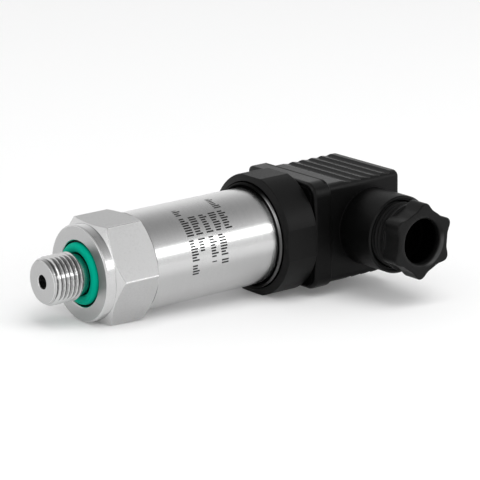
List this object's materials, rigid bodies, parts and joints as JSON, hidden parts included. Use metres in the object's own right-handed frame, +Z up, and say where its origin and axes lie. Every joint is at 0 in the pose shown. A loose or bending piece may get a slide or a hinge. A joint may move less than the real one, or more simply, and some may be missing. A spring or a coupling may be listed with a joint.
{
  "type": "pressure transmitter",
  "caption": "Pressure transmitter with a threaded steel port, hexagon, round steel housing and a ribbed plug with a side cable gland, lying on its side.",
  "frame": {"origin": "on the axis of the port, in the plane of the collar's seal face", "axes": "+X towards the plug, with the port's axis rising 3.36 degrees from +X in the XZ plane as the transmitter lies; -Y along the cable gland; +Z up"},
  "size_m": [0.1121, 0.0539, 0.0339],
  "materials": {
    "stainless": "satin turned",
    "green_seal": "satin",
    "black_rubber": "glossy",
    "black_nylon": "fine spark-eroded grain",
    "brass": "turned",
    "tinned_brass": "tin plated",
    "plated_steel": "zinc plated",
    "board": "solder mask",
    "board_parts": "moulded",
    "wire": "silicone insulation"
  },
  "bodies": {
    "transmitter": {"process_fitting": "stainless", "port_seal_ring": "green_seal", "sensor_cell": "stainless", "sensor_seal": "black_rubber", "sensor_retainer": "stainless", "housing_tube": "stainless", "board_carrier": "black_nylon", "circuit_board": "board", "board_parts": "board_parts", "sensor_leads": "wire", "connector_leads": "wire", "housing_seal_ring": "black_rubber", "connector_base": "black_nylon", "base_insert": "brass", "contact_blades": "tinned_brass", "earth_blade": "tinned_brass", "flange_gasket": "black_rubber"},
    "plug": {"plug_housing": "black_nylon", "contact_insert": "black_nylon", "terminal_clips": "tinned_brass", "terminal_screws": "plated_steel", "gland_grommet": "black_rubber"},
    "thrust_washer": {"gland_washer": "plated_steel"},
    "gland_nut": {"gland_nut": "black_nylon"},
    "seal_washer": {"screw_washer": "black_rubber"},
    "fixing_screw": {"fixing_screw": "plated_steel"}
  },
  "joints": [
    {"name": "plug_pull", "type": "slide", "parent": "transmitter", "child": "plug", "axis": [0.9983, 0, 0.0585], "range_m": [0, 0.016]},
    {"name": "gland_travel", "type": "slide", "parent": "plug", "child": "thrust_washer", "axis": [0, -1, 0], "range_m": [-0.00353, 0.00353]},
    {"name": "gland_turn", "type": "hinge", "parent": "thrust_washer", "child": "gland_nut", "pos_m": [0.0884, -0.03, 0.00518], "axis": [0, -1, 0], "range_deg": [-900, 900]},
    {"name": "screw_travel", "type": "slide", "parent": "plug", "child": "seal_washer", "axis": [0.9983, 0, 0.0585], "range_m": [0, 0.005]},
    {"name": "screw_turn", "type": "hinge", "parent": "seal_washer", "child": "fixing_screw", "pos_m": [0.09484, 0, 0.00556], "axis": [0.9983, 0, 0.0585], "range_deg": [0, 3610]}
  ],
  "couplings": [
    {"joint": "gland_travel", "follows": "gland_turn", "m_per_rad": 0.00022457},
    {"joint": "screw_turn", "follows": "screw_travel", "rad_per_m": 12566}
  ]
}
